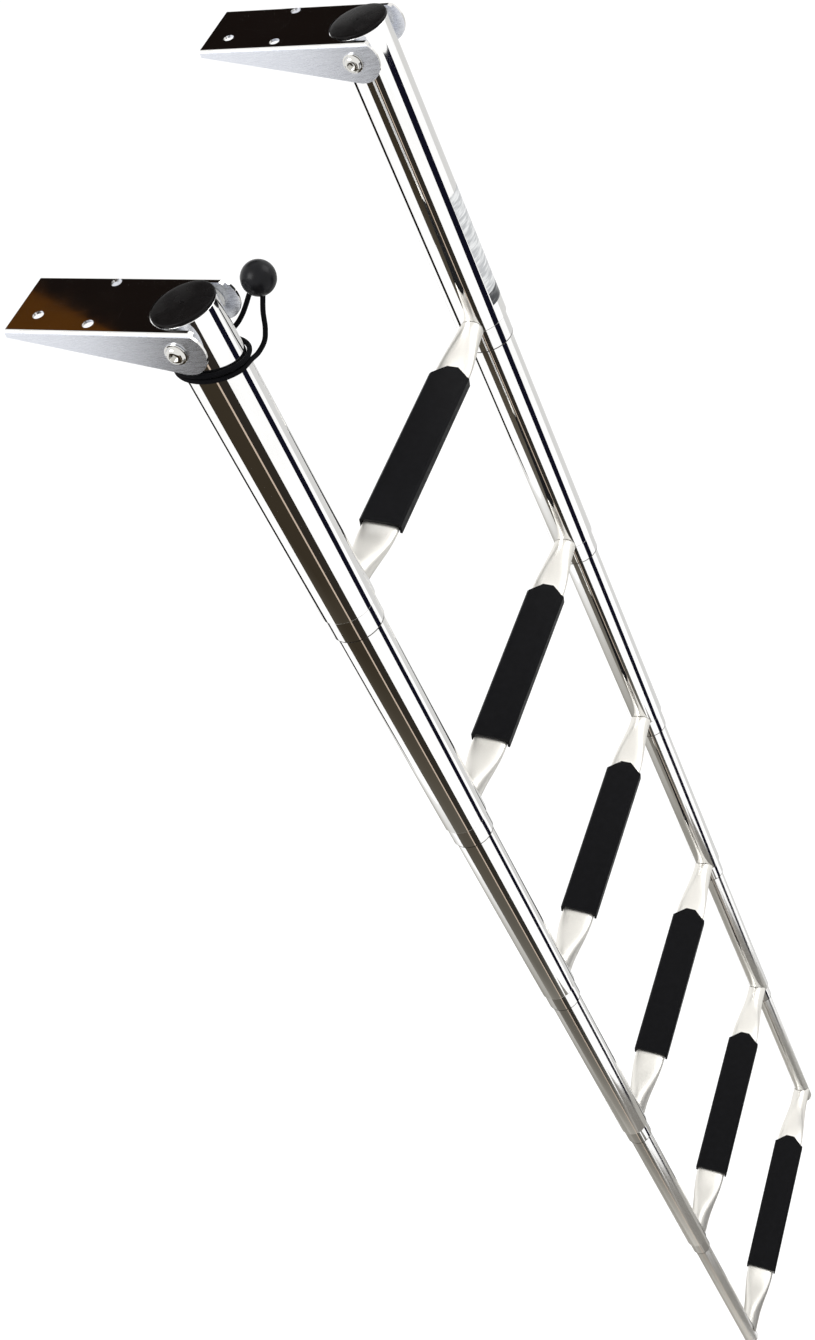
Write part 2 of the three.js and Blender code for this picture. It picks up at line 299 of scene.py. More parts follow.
def polished_steel(name, tint=(0.95, 0.945, 0.935), smooth=0.02, dull=0.06):
    """Mirror-polished stainless tube: faint lengthwise polishing lines and soft smudges."""
    s = Shader(name, tint, metallic=1)
    lines = s.noise(3200, (1, 1, 0.02), 2)
    smudges = s.noise(38, (1, 1, 0.6), 5)
    s.feed("Roughness", s.ramp(smudges, (0.35, smooth), (0.62, 0.5 * (smooth + dull)), (0.8, dull)))
    darker = tuple(0.94 * c for c in tint)
    s.feed("Base Color", s.ramp(s.noise(60, (1, 1, 0.3), 3), (0.3, tint), (0.75, darker)))
    s.bump(lines, 0.02, 0.00001)
    return s.material


def brushed_sheet():
    """Bracket sheet: mirror-polished plate, and cheeks brushed along their length."""
    s = Shader("bracket_sheet", (0.74, 0.75, 0.78), metallic=1)
    axis = s.node("SeparateXYZ", {"Vector": s.coord.outputs["Normal"]}).outputs["X"]
    side = s.node("Math", {0: axis}, operation="ABSOLUTE").outputs[0]
    brushing = s.noise(2600, (1, 0.03, 1), 3)
    rough = s.ramp(brushing, (0.3, 0.22), (0.7, 0.32))
    shine = s.ramp(s.noise(45, (1, 1, 1), 4), (0.35, 0.03), (0.75, 0.09))
    mask = s.ramp(side, (0.55, 0.0), (0.9, 1.0))
    mixed = s.node("Mix", {0: mask, 6: shine, 7: rough}, data_type="RGBA")
    s.feed("Roughness", mixed.outputs[2])
    tone = s.ramp(brushing, (0.25, (0.66, 0.68, 0.74)), (0.75, (0.84, 0.86, 0.91)))
    plate = s.ramp(s.noise(25, (1, 1, 1), 3), (0.3, (0.8, 0.79, 0.77)), (0.8, (0.74, 0.73, 0.71)))
    color = s.node("Mix", {0: mask, 6: plate, 7: tone}, data_type="RGBA")
    s.feed("Base Color", color.outputs[2])
    s.bump(brushing, 0.05, 0.00002)
    return s.material


def satin_steel():
    """Rung tube: satin stainless, brushed along its length, warm grey."""
    s = Shader("satin_rung_steel", (0.72, 0.71, 0.67), metallic=1)
    brushing = s.noise(3600, (0.03, 1, 1), 3)
    s.feed("Roughness", s.ramp(brushing, (0.3, 0.36), (0.75, 0.42)))
    s.feed("Base Color", s.ramp(brushing, (0.25, (0.78, 0.76, 0.71)), (0.8, (0.87, 0.85, 0.8))))
    s.bump(brushing, 0.04, 0.00001)
    return s.material


def moulded_plastic(name, color, rough, grain, strength, depth, shine=0.1):
    """Moulded plastic: fine spark-eroded grain and slightly worn, shinier patches."""
    s = Shader(name, color, roughness=rough, Specular_IOR_Level=shine)
    wear = s.noise(70, (1, 1, 1), 5)
    s.feed("Roughness", s.ramp(wear, (0.3, rough + 0.06), (0.7, rough - 0.07)))
    lighter = tuple(1.4 * c for c in color)
    s.feed("Base Color", s.ramp(s.noise(160, (1, 1, 1), 3), (0.4, color), (0.75, lighter)))
    s.bump(s.noise(grain, (1, 1, 1), 2), strength, depth)
    return s.material


def printed_film(name, dark, pale):
    """Thin film on the tube, with fine cross bands and no lettering."""
    s = Shader(name, pale, roughness=0.3, Specular_IOR_Level=0.3)
    bands = s.noise(420, (0.15, 0.15, 1), 3)
    s.feed("Base Color", s.ramp(bands, (0.4, dark), (0.62, pale)))
    s.bump(bands, 0.05, 0.00002)
    return s.material


def braided_sheath():
    """Bungee sheath: two crossing sets of threads, from the tube's own length and turn."""
    s = Shader("braided_sheath", (0.008, 0.008, 0.009), roughness=0.7, Specular_IOR_Level=0.04)
    place = s.node("Attribute", attribute_name="braid")
    waves = []
    for sign in (1, -1):
        split = s.node("SeparateXYZ", {"Vector": place.outputs["Vector"]})
        run = s.node("Math", {0: split.outputs["Y"], 1: float(sign)}, operation="MULTIPLY")
        total = s.node("Math", {0: split.outputs["X"], 1: run.outputs[0]}, operation="ADD")
        waves.append(s.node("Math", {0: total.outputs[0]}, operation="SINE").outputs[0])
    weave = s.node("Math", {0: waves[0], 1: waves[1]}, operation="MULTIPLY").outputs[0]
    height = s.node("MapRange", {0: weave, 1: -1.0, 2: 1.0}).outputs[0]
    # Darker where the weave is low: painted shade in the grooves between threads
    s.feed("Base Color", s.ramp(height, (0.2, (0.0015, 0.0015, 0.002)), (0.8, (0.005, 0.005, 0.006))))
    s.feed("Roughness", s.ramp(height, (0.2, 0.8), (0.9, 0.55)))
    s.bump(height, 0.5, 0.0003)
    return s.material


DULLNESS = [0.02, 0.025, 0.04, 0.09, 0.16, 0.24]
steels = []
for k, dull in zip(SECTIONS, DULLNESS):
    steels.append(polished_steel(f"polished_tube_{k}", smooth=dull, dull=dull + 0.04))
collar_steel = polished_steel("polished_collar", (0.93, 0.925, 0.92), 0.03, 0.09)
bolt_steel = polished_steel("polished_fastener", (0.7, 0.69, 0.66), 0.04, 0.1)
bracket_steel = brushed_sheet()
rung_steel = satin_steel()
tread_black = moulded_plastic("tread_plastic", (0.003, 0.003, 0.0036), 0.42, 1500, 0.2, 0.00006, 0.06)
cap_black = moulded_plastic("cap_plastic", (0.0045, 0.004, 0.004), 0.26, 900, 0.1, 0.00005, 0.07)
ball_black = moulded_plastic("ball_rubber", (0.004, 0.004, 0.005), 0.3, 700, 0.1, 0.00005, 0.16)
nylon = moulded_plastic("pale_nylon", (0.62, 0.62, 0.6), 0.5, 900, 0.15, 0.0001, 0.4)
film_grey = printed_film("grey_film", (0.4, 0.41, 0.42), (0.66, 0.67, 0.67))
film_dark = printed_film("dark_film", (0.03, 0.032, 0.036), (0.16, 0.165, 0.17))
sheath = braided_sheath()
# Dark steel for painted shade in the collar joints and a painted reflection of the black cap on the
# bracket notch
painted_shade_and_reflection = polished_steel("painted_shade_and_reflection_steel", (0.1, 0.09, 0.08), 0.3, 0.45)


# Rails


# Painted shade on a collar: dark bands in the joints at its foot, and just below the lip above it
FOOT_SHADE = 1.3 * MM
LIP_SHADE = 1.1 * MM


def sleeve(outer, inner, low, high, edge):
    corners = [(inner, low), (outer, low), (outer, high), (inner, high)]
    return rounded(corners, edge, 3)


def tube_top(section):
    return TUBE_TOP if section == 1 else LIPS[section - 2] + OVERLAP


def second_material(obj, material, bands):
    """Gives the outer faces between pairs of heights a second material."""
    obj.data.materials.append(material)
    for face in obj.data.polygons:
        if any(low < face.center.z < high for low, high in bands):
            face.material_index = 1


def add_rail(side):
    x = RAIL_X[side]
    for k in SECTIONS:
        outer = TUBE_OD[k - 1] / 2
        profile = sleeve(outer, outer - WALL, LIPS[k - 1], tube_top(k), 0.55 * MM)
        tube = lathe(f"{side}_polished_tube_{k}", profile, x)
        if k == 1:
            drill = rod(BORE_R, -0.04, 0.04)
            at = (x, 0, HINGE_Z)
            tube = combine(tube, lathe("drill", drill, axis="X", at=at, segments=48))
            tube.data.shade_smooth()
            tube.data.set_sharp_from_angle(angle=math.radians(35))
        finish_piece(tube, f"section_{k}", f"{side}_tube_{k}", steels[k - 1])
        if k < 6:
            lip = LIPS[k - 1]
            low = lip - COLLAR_BELOW
            wide = outer - WALL - GAP
            profile = sleeve(wide, TUBE_OD[k] / 2 + GAP, low, lip + COLLAR_INSIDE, 0.5 * MM)
            cut = max(i for i, p in enumerate(profile) if p[0] > wide - 1e-6 and p[1] < lip)
            steps = (low + FOOT_SHADE, lip - LIP_SHADE, lip + MM)
            profile[cut + 1 : cut + 1] = [(wide, height) for height in steps]
            collar = lathe(f"{side}_lip_collar_{k}", profile, x)
            node = f"{side}_collar_{k}"
            finish_piece(collar, f"section_{k}", node, collar_steel)
            # Painted shade: the collar's joint bands take the dark steel
            second_material(collar, painted_shade_and_reflection, [(low - 1, steps[0]), (steps[1], steps[2])])
        if k > 1:
            above = TUBE_OD[k - 2] / 2 - WALL - GAP
            high = tube_top(k)
            profile = sleeve(above, outer + GAP, high - GUIDE_LENGTH, high, 0.6 * MM)
            guide = lathe(f"{side}_guide_bush_{k}", profile, x, segments=64)
            finish_piece(guide, f"section_{k}", f"{side}_guide_{k}", nylon)


# The film lies on the right upper tube, between two angles about it
FILM_INSIDE_R = 25.42 * MM
FILM_OUTSIDE_R = 25.55 * MM
FILM_START, FILM_END = -113, -38
FILM_BOTTOM, FILM_JOIN, FILM_TOP = -0.293, -0.28, -0.172


def film_patch(name, low, high, start, end):
    """A curved patch on the right upper tube, from one angle about it to another."""
    around = 24
    verts = []
    for r in (FILM_INSIDE_R, FILM_OUTSIDE_R):
        for z in (low, high):
            for i in range(around + 1):
                a = math.radians(start + (end - start) * i / around)
                verts.append((RAIL_X["right"] + r * math.cos(a), r * math.sin(a), z))
    row = around + 1
    faces = []
    for i in range(around):
        for a, b in ((0, row), (2 * row, 3 * row), (0, 2 * row), (row, 3 * row)):
            faces.append((a + i, a + i + 1, b + i + 1, b + i))
    for i in (0, around):
        faces.append((i, row + i, 3 * row + i, 2 * row + i))
    return new_object(name, mesh_from(name, verts, faces))


def add_film():
    low = FILM_JOIN + 0.5 * MM
    patch = film_patch("right_grey_film", low, FILM_TOP, FILM_START, FILM_END)
    finish_piece(patch, "section_1", None, film_grey)
    block = film_patch("right_dark_film", FILM_BOTTOM, FILM_JOIN, FILM_START, FILM_END)
    finish_piece(block, "section_1", None, film_dark)


CAP_R = 25.8 * MM
CAP_RIM = 2.8 * MM
CAP_STEM = 8 * MM
CAP_CROWN = 0.95 * MM
PLUG_HEIGHT = 4.5 * MM
PLUG_STEM = 8 * MM


def add_cap(side):
    base = TUBE_TOP + GAP
    rim = CAP_R
    top = base + CAP_RIM
    foot = base - CAP_STEM
    stem = TUBE_OD[0] / 2 - WALL - GAP
    bore = stem - 2 * MM
    profile = [(0, base - 2 * MM), (bore, base - 2 * MM), (bore, foot)]
    profile += [(stem - 0.4 * MM, foot), (stem, foot + 0.4 * MM), (stem, base)]
    profile += [(rim - 0.3 * MM, base), (rim, base + 0.3 * MM), (rim, top - 0.9 * MM)]
    for i in range(1, 6):
        a = math.pi / 2 * i / 5
        edge = rim - 0.9 * MM * (1 - math.cos(a))
        profile.append((edge, top - 0.9 * MM * (1 - math.sin(a))))
    for i in range(1, 13):
        t = i / 12
        r = (rim - 0.9 * MM) * (1 - t) + 1.9 * MM * t
        profile.append((r, top + CAP_CROWN * (1 - (r / rim) ** 2)))
    profile += [(1.6 * MM, top + 0.6 * MM), (1.3 * MM, top - 0.1 * MM), (0, top - 0.2 * MM)]
    cap = lathe(f"{side}_domed_cap", profile, RAIL_X[side])
    finish_piece(cap, "section_1", f"{side}_top_cap", cap_black)


def add_plug(side):
    end = LIPS[5] - GAP
    outer = TUBE_OD[5] / 2
    stem = outer - WALL - GAP
    profile = []
    for i in range(13):
        a = math.pi / 2 * i / 12
        drop = PLUG_HEIGHT * math.cos(a) ** 1.2 if i < 12 else 0
        profile.append((outer * math.sin(a), end - drop))
    profile += [(stem, end + 0.05 * MM), (stem, end + PLUG_STEM), (0, end + PLUG_STEM)]
    plug = lathe(f"{side}_domed_plug", profile, RAIL_X[side])
    finish_piece(plug, "section_6", f"{side}_end_plug", collar_steel)


# Brackets and hinge hardware

CHEEK_INSIDE = 30.5 * MM
SHEET = 2.2 * MM
FOLD_R = 3 * MM
LOBE_R = 19.5 * MM
LOBE_OFFSET = -4.5 * MM
MOUTH_R = 27 * MM
MOUTH_CENTRE = 1.5 * MM
PLATE_END = 141.5 * MM
TIP_DEPTH = 6 * MM
SCREW_R = 4.5 * MM
PLATE_HOLES = [(-13 * MM, 121 * MM), (-22 * MM, 73 * MM), (26 * MM, 72 * MM)]


def arc(cx, cy, radius, start, end, steps):
    points = []
    for i in range(steps + 1):
        a = start + (end - start) * i / steps
        points.append((cx + radius * math.cos(a), cy + radius * math.sin(a)))
    return points


def channel_outline():
    outer = CHEEK_INSIDE + SHEET
    low = -LOBE_R - 5 * MM
    inner_r = FOLD_R - SHEET
    bend = PLATE_RISE - FOLD_R
    quarter = math.pi / 2
    points = [(-outer, low), (-CHEEK_INSIDE, low)]
    points += arc(-CHEEK_INSIDE + inner_r, bend, inner_r, 2 * quarter, quarter, 6)
    points += arc(CHEEK_INSIDE - inner_r, bend, inner_r, quarter, 0, 6)
    points += [(CHEEK_INSIDE, low), (outer, low)]
    points += arc(outer - FOLD_R, bend, FOLD_R, 0, quarter, 10)
    points += arc(FOLD_R - outer, bend, FOLD_R, quarter, 2 * quarter, 10)
    return points


def cheek_outline():
    drop = PLATE_RISE - TIP_DEPTH
    rise = math.asin(PLATE_RISE / LOBE_R)
    along = PLATE_END - LOBE_OFFSET
    tangent = math.atan2(drop, along) - math.acos(LOBE_R / math.hypot(along, drop))
    points = [(PLATE_END, PLATE_RISE)]
    points += arc(LOBE_OFFSET, 0, LOBE_R, math.pi - rise, 2 * math.pi + tangent, 72)
    points.append((PLATE_END, drop))
    return points


def paint_notch_reflection(sheet, material, place):
    """Gives the cut wall of the notch the dark steel, a painted reflection of the black cap beside
    it.
    """
    sheet.data.materials.append(material)
    straight = Matrix.Rotation(-PLATE_SLOPE, 3, "X")
    for face in sheet.data.polygons:
        centre = straight @ (face.center - place)
        off = math.hypot(centre.x, centre.y - MOUTH_CENTRE) - MOUTH_R
        if abs(off) < 0.5 * MM and centre.y > 0 and centre.z > PLATE_RISE - SHEET - 0.1 * MM:
            face.material_index = 1


def make_bracket():
    wide = CHEEK_INSIDE + SHEET + 3 * MM
    sheet = prism("bracket", channel_outline(), -0.04, 0.16, "Y")
    combine(sheet, prism("side", cheek_outline(), -wide, wide, "X"), "INTERSECT")
    mouth = [(-MOUTH_R, -0.06), (MOUTH_R, -0.06)]
    mouth += arc(0, MOUTH_CENTRE, MOUTH_R, 0, math.pi, 64)
    combine(sheet, prism("mouth", mouth, 5 * MM, 0.04))
    combine(sheet, lathe("pin", rod(BORE_R, -wide, wide), axis="X", at=(0, 0, 0), segments=64))
    for across, along in PLATE_HOLES:
        combine(sheet, lathe("screw", rod(SCREW_R, 0, 0.04), across, along, segments=64))
    bevelled(sheet, 0.35 * MM, 2, 50)
    return moved(sheet, Matrix.Rotation(PLATE_SLOPE, 4, "X"))


HEAD_R = 9 * MM
NUT_R = 9 * MM
NUT_HEIGHT = 7 * MM
WASHER_R = 12 * MM
THREAD_PAST_NUT = 1.5 * MM


def add_hardware(side):
    at = (RAIL_X[side], 0, HINGE_Z)
    face = CHEEK_INSIDE + SHEET + GAP
    tip = -face - NUT_HEIGHT - THREAD_PAST_NUT
    chamfer = 0.7 * MM
    profile = [(0, tip), (SHANK_R - chamfer, tip), (SHANK_R, tip + chamfer), (SHANK_R, face)]
    edge = 0.2 * MM
    profile += [(HEAD_R - edge, face), (HEAD_R, face + edge), (HEAD_R, face + MM)]
    profile += [(HEAD_R - edge, face + 1.2 * MM), (7.9 * MM, face + 1.3 * MM)]
    for i in range(1, 9):
        a = math.pi / 2 * i / 8
        r = 3.9 * MM + 3.6 * MM * math.cos(a)
        profile.append((r, face + 1.4 * MM + 3.5 * MM * math.sin(a)))
    profile += [(3.5 * MM, face + 4.9 * MM), (3.5 * MM, face + 2.3 * MM), (0, face + 2 * MM)]
    bolt = lathe(f"{side}_domed_bolt", profile, axis="X", at=at, segments=72)
    finish_piece(bolt, "brackets", f"{side}_hinge_bolt", bolt_steel)

    hexagon = arc(0, 0, NUT_R, 0, 2 * math.pi * 5 / 6, 5)
    nut = prism("nut", [(a, b) for a, b in hexagon], face, face + NUT_HEIGHT, "X")
    corner = 8 * MM
    past = NUT_R + 0.2 * MM
    low, high = -face - NUT_HEIGHT, -face
    cone = [(0, low), (corner, low), (past, low + 0.8 * MM)]
    cone += [(past, high - 0.8 * MM), (corner, high), (0, high)]
    combine(nut, lathe("cone", cone, axis="X", at=(0, 0, 0)), "INTERSECT")
    thread = lathe("thread", rod(BORE_R, -0.06, 0), axis="X", at=(0, 0, 0), segments=48)
    combine(nut, thread)
    moved(nut, Matrix.Translation(at))
    nut.name = f"{side}_chamfered_nut"
    nut.data.shade_smooth()
    nut.data.set_sharp_from_angle(angle=math.radians(30))
    finish_piece(nut, "brackets", f"{side}_hinge_nut", bolt_steel)

    near = TUBE_OD[0] / 2 + GAP
    far = CHEEK_INSIDE - GAP
    for label, low, high in (("head", near, far), ("nut", -far, -near)):
        corners = [(BORE_R, low), (WASHER_R, low), (WASHER_R, high), (BORE_R, high)]
        profile = rounded(corners, 0.4 * MM)
        washer = lathe(f"{side}_{label}_spacer", profile, axis="X", at=at, segments=64)
        finish_piece(washer, "brackets", f"{side}_{label}_washer", nylon)


# Steps

FLAT_HALF = 0.102
SWELL = 0.063
RUNG_R = 11.1 * MM
FLAT_HALF_WIDTH = 17 * MM
FLAT_HALF_THICK = 4 * MM
FLAT_DROP = 5.2 * MM
RUNG_CLEAR = 0.35 * MM
TREAD_HALF = 0.096
TREAD_LIP = 2.2 * MM
TREAD_THICK = 2.6 * MM
TREAD_DEPTH = 10.9 * MM
TREAD_CHAMFER = 2 * MM
TONGUE = 11 * MM
TONGUE_HALF = 5.5 * MM


def rung_point(x, angle, flat):
    """A point of the rung's skin: round where flat is 0, pressed wide and low where it is 1."""
    half_wide = RUNG_R + (FLAT_HALF_WIDTH - RUNG_R) * flat
    half_thick = RUNG_R + (FLAT_HALF_THICK - RUNG_R) * flat
    power = 1 / (1 + 0.7 * flat)
    c = math.cos(angle)
    s = math.sin(angle)
    y = half_wide * math.copysign(abs(c) ** power, c) + STEP_INBOARD * flat
    z = half_thick * math.copysign(abs(s) ** power, s) - FLAT_DROP * flat
    tilt_y = y * math.cos(STEP_TILT) - z * math.sin(STEP_TILT)
    tilt_z = y * math.sin(STEP_TILT) + z * math.cos(STEP_TILT)
    return Vector((x, tilt_y, tilt_z))


def coped_ends(rings, sides):
    """End faces in upright strips, so that each follows the round tube it is welded to."""
    faces = []
    shift = round(STEP_TILT / math.pi * sides)
    first = (sides - shift + 1) // 2
    for ring in (rings[0], rings[-1]):
        for j in range(first, first + sides // 2 - 1):
            a, b = j % sides, (j + 1) % sides
            c, d = (-shift - j - 1) % sides, (-shift - j) % sides
            faces.append((ring[a], ring[b], ring[c], ring[d]))
    return faces


def add_rung(k):
    sides = 64
    radius = TUBE_OD[k - 1] / 2 + RUNG_CLEAR
    swell = [FLAT_HALF + SWELL * (1 - i / 24) for i in range(25)]
    half = [x for x in swell if x < RAIL_X["right"] - radius - 0.5 * MM]
    stations = [-x for x in half] + [0.03 * i for i in range(-3, 4)] + half[::-1]
    verts = []
    rings = []
    for end in (-1, *stations, 1):
        ring = []
        for j in range(sides):
            angle = 2 * math.pi * j / sides
            if abs(end) == 1:
                p = rung_point(0, angle, 0)
                across = min(abs(p.y), 0.995 * radius)
                p.x = end * (RAIL_X["right"] - math.sqrt(radius**2 - across**2))
            else:
                t = min(max((abs(end) - FLAT_HALF) / SWELL, 0), 1)
                p = rung_point(end, angle, 1 - t * t * (3 - 2 * t))
            ring.append(len(verts))
            verts.append(p + Vector((0, 0, RUNG_Z[k - 1])))
        rings.append(ring)
    faces = coped_ends(rings, sides)
    for low, high in zip(rings, rings[1:]):
        for j in range(sides):
            i = (j + 1) % sides
            faces.append((low[j], low[i], high[i], high[j]))
    rung = new_object(f"flattened_rung_{k}", mesh_from("rung", verts, faces), 60)
    finish_piece(rung, f"section_{k}", f"rung_{k}", rung_steel)


def make_tread():
    inside = FLAT_HALF_WIDTH + GAP
    outside = inside + TREAD_LIP
    under = FLAT_HALF_THICK - FLAT_DROP + GAP
    top = under + TREAD_THICK
    low = top - TREAD_DEPTH
    cut = TREAD_CHAMFER
    channel = [(-outside, low), (-inside, low), (-inside, under), (inside, under), (inside, low)]
    channel += [(outside, low), (outside, top - cut), (outside - cut, top)]
    channel += [(cut - outside, top), (-outside, top - cut)]
    tread = prism("tread", channel, -0.15, 0.15, "X")
    end = TREAD_HALF
    tongue = end + TONGUE
    wide = 0.03
    plan = [(-end, -wide), (end, -wide), (end, -0.9 * outside), (tongue, -TONGUE_HALF)]
    plan += [(tongue, TONGUE_HALF), (end, 0.9 * outside), (end, wide), (-end, wide)]
    combine(tread, prism("plan", plan, -0.03, 0.03), "INTERSECT")
    bevelled(tread, 0.45 * MM, 3, 25, 50)
    shift = Matrix.Translation((0, STEP_INBOARD, 0))
    return moved(tread, Matrix.Rotation(STEP_TILT, 4, "X") @ shift)


# Bungee: the route's points repeat the CAD model's, in metres

BALL_AT = Vector((-0.1493, -0.0437, -0.0085))
BALL_R = 13.5 * MM
CORD_R = 2 * MM
WRAP_R = 27.9 * MM
WRAP_Z = -52.1 * MM
WRAP_PITCH = 4.8 * MM
WRAP_LEAN_X = -3.6 * MM
WRAP_LEAN_Y = 4.3 * MM
WRAP_START = -80
WRAP_TURNS = 1.75
POINTS_PER_TURN = 12
CORD_TO_TUBE = [
    (-0.1516, -0.0416, -0.0226),
    (-0.155, -0.0378, -0.034),
    (-0.158, -0.0346, -0.0474),
    (-0.1614, -0.031, -0.0562),
    (-0.169, -0.0276, -0.0598),
]
CORD_TO_BALL = [
    (-0.1572, -0.0034, -0.0464),
    (-0.154, -0.0094, -0.0436),
    (-0.1504, -0.015, -0.0386),
    (-0.1478, -0.0208, -0.0316),
    (-0.1468, -0.0266, -0.0242),
    (-0.1473, -0.0327, -0.0179),
]


def coil():
    points = []
    for i in range(int(WRAP_TURNS * POINTS_PER_TURN) + 1):
        turns = i / POINTS_PER_TURN
        a = math.radians(WRAP_START - 360 * turns)
        lean = WRAP_LEAN_X * math.cos(a) + WRAP_LEAN_Y * math.sin(a)
        x = RAIL_X["left"] + WRAP_R * math.cos(a)
        points.append((x, WRAP_R * math.sin(a), WRAP_Z + lean + WRAP_PITCH * turns))
    return points


def smooth_route(points, steps):
    """A centripetal Catmull-Rom curve through the points."""
    pts = [Vector(p) for p in points]
    pts = [2 * pts[0] - pts[1], *pts, 2 * pts[-1] - pts[-2]]
    out = []
    for a, b, c, d in zip(pts, pts[1:], pts[2:], pts[3:]):
        t1 = math.sqrt((b - a).length)
        t2 = t1 + math.sqrt((c - b).length)
        t3 = t2 + math.sqrt((d - c).length)
        for i in range(steps):
            t = t1 + (t2 - t1) * i / steps
            a1 = (a * (t1 - t) + b * t) / t1
            a2 = (b * (t2 - t) + c * (t - t1)) / (t2 - t1)
            a3 = (c * (t3 - t) + d * (t - t2)) / (t3 - t2)
            b1 = (a1 * (t2 - t) + a2 * t) / t2
            b2 = (a2 * (t3 - t) + a3 * (t - t1)) / (t3 - t1)
            out.append((b1 * (t2 - t) + b2 * (t - t1)) / (t2 - t1))
    return out + [pts[-2]]


def add_bungee():
    radius = CORD_R
    route = smooth_route(CORD_TO_TUBE + coil() + CORD_TO_BALL, 8)
    sides = 20
    verts = []
    braid = []
    normal = Vector((0, 0, 1))
    length = 0.0
    for i, p in enumerate(route):
        ahead = route[min(i + 1, len(route) - 1)]
        behind = route[max(i - 1, 0)]
        tangent = (ahead - behind).normalized()
        normal = (normal - tangent * normal.dot(tangent)).normalized()
        other = tangent.cross(normal)
        if i:
            length += (p - route[i - 1]).length
        for j in range(sides):
            a = 2 * math.pi * j / sides
            verts.append(p + radius * (math.cos(a) * normal + math.sin(a) * other))
            braid.append((length / (0.35 * MM), 6 * a, 0))
    faces = [tuple(range(sides))[::-1], tuple(range(len(verts) - sides, len(verts)))]
    for i in range(len(route) - 1):
        for j in range(sides):
            k = (j + 1) % sides
            a, b = i * sides + j, i * sides + k
            faces.append((a, b, b + sides, a + sides))
    cord = new_object("braided_cord", mesh_from("cord", verts, faces), 80)
    attribute = cord.data.attributes.new("braid", "FLOAT_VECTOR", "POINT")
    for item, value in zip(attribute.data, braid):
        item.vector = value
    finish_piece(cord, "section_1", "bungee_cord", sheath)

    mouth = 3.1 * MM
    profile = [(0, 9.5 * MM), (2.6 * MM, 9.5 * MM), (2.6 * MM, 12.2 * MM)]
    start = math.asin(mouth / BALL_R)
    for i in range(49):
        a = start + (math.pi - start) * i / 48
        seam = 0.12 * MM * math.exp(-(((a - math.pi / 2) / 0.03) ** 2))
        r = BALL_R * math.sin(a) + seam
        profile.append((r if i < 48 else 0, BALL_R * math.cos(a)))
    ball = lathe("moulded_ball", profile[::-1], at=(0, 0, 0), segments=72)
    out = (route[0] + route[-1]) / 2 - BALL_AT
    turn = out.to_track_quat("Z", "Y").to_matrix().to_4x4()
    moved(ball, Matrix.Translation(BALL_AT) @ turn)
    finish_piece(ball, "section_1", "bungee_ball", ball_black)


for side in RAIL_X:
    add_rail(side)
    add_cap(side)
    add_plug(side)
    add_hardware(side)

bracket = make_bracket()
for side, x in RAIL_X.items():
    sheet = copied(bracket, f"{side}_folded_bracket", (x, 0, HINGE_Z))
    finish_piece(sheet, "brackets", f"{side}_bracket", bracket_steel)
    # Painted reflection of the black cap on the notch wall
    paint_notch_reflection(sheet, painted_shade_and_reflection, Vector((x, 0, HINGE_Z)))
bpy.data.objects.remove(bracket)

tread = make_tread()
for k in SECTIONS:
    add_rung(k)
    cover = copied(tread, f"tread_cover_{k}", (0, 0, RUNG_Z[k - 1]))
    finish_piece(cover, f"section_{k}", f"tread_{k}", tread_black)
bpy.data.objects.remove(tread)

add_bungee()
add_film()


# Stage: a pale floor well below, soft lights, and cards that only reflections see


def stage_card(name, corners, color, gradient=None):
    """A glowing card that only reflections see, plain or graded along one axis."""
    card = new_object(name, mesh_from(name, corners, [(0, 1, 2, 3)]))
    material = bpy.data.materials.new(name)
    material.use_nodes = True
    nodes = material.node_tree.nodes
    links = material.node_tree.links
    nodes.clear()
    out = nodes.new("ShaderNodeOutputMaterial")
    emit = nodes.new("ShaderNodeEmission")
    emit.inputs["Color"].default_value = (*color, 1)
    if gradient:
        axis, stops = gradient
        coord = nodes.new("ShaderNodeTexCoord")
        split = nodes.new("ShaderNodeSeparateXYZ")
        links.new(coord.outputs["Object"], split.inputs[0])
        spread = nodes.new("ShaderNodeMapRange")
        spread.inputs[1].default_value = stops[0][0]
        spread.inputs[2].default_value = stops[-1][0]
        links.new(split.outputs[axis], spread.inputs[0])
        ramp = nodes.new("ShaderNodeValToRGB")
        span = stops[-1][0] - stops[0][0]
        while len(ramp.color_ramp.elements) < len(stops):
            ramp.color_ramp.elements.new(0.5)
        for element, (value, tone) in zip(ramp.color_ramp.elements, stops):
            element.position = (value - stops[0][0]) / span
            element.color = (*tone, 1)
        links.new(spread.outputs[0], ramp.inputs[0])
        links.new(ramp.outputs[0], emit.inputs["Color"])
    links.new(emit.outputs[0], out.inputs["Surface"])
    card.data.materials.append(material)
    card.visible_camera = False
    card.visible_diffuse = False
    card.visible_shadow = False
    card.visible_transmission = False


def upright(a, b, low, high):
    """Corners of a standing card between two plan points."""
    return [(*a, low), (*b, low), (*b, high), (*a, high)]


def level(a, b):
    """Corners of a lying card between two opposite plan points."""
    return [(*a, LOW_CARD_Z), (b[0], a[1], LOW_CARD_Z), (*b, LOW_CARD_Z), (a[0], b[1], LOW_CARD_Z)]


FLOOR_Z = -5.0
FLOOR_HALF = 12
DEEP = FLOOR_Z + 0.01
LOW_CARD_Z = -2.45

floor_plan = [(-FLOOR_HALF, -FLOOR_HALF), (FLOOR_HALF, -FLOOR_HALF)]
floor_plan += [(FLOOR_HALF, FLOOR_HALF), (-FLOOR_HALF, FLOOR_HALF)]
floor_corners = [(x, y, FLOOR_Z) for x, y in floor_plan]
floor = new_object("floor", mesh_from("floor", floor_corners, [(0, 1, 2, 3)]))
floor_shader = Shader("pale_floor", (0.95, 0.95, 0.95), roughness=0.9)
floor.data.materials.append(floor_shader.material)

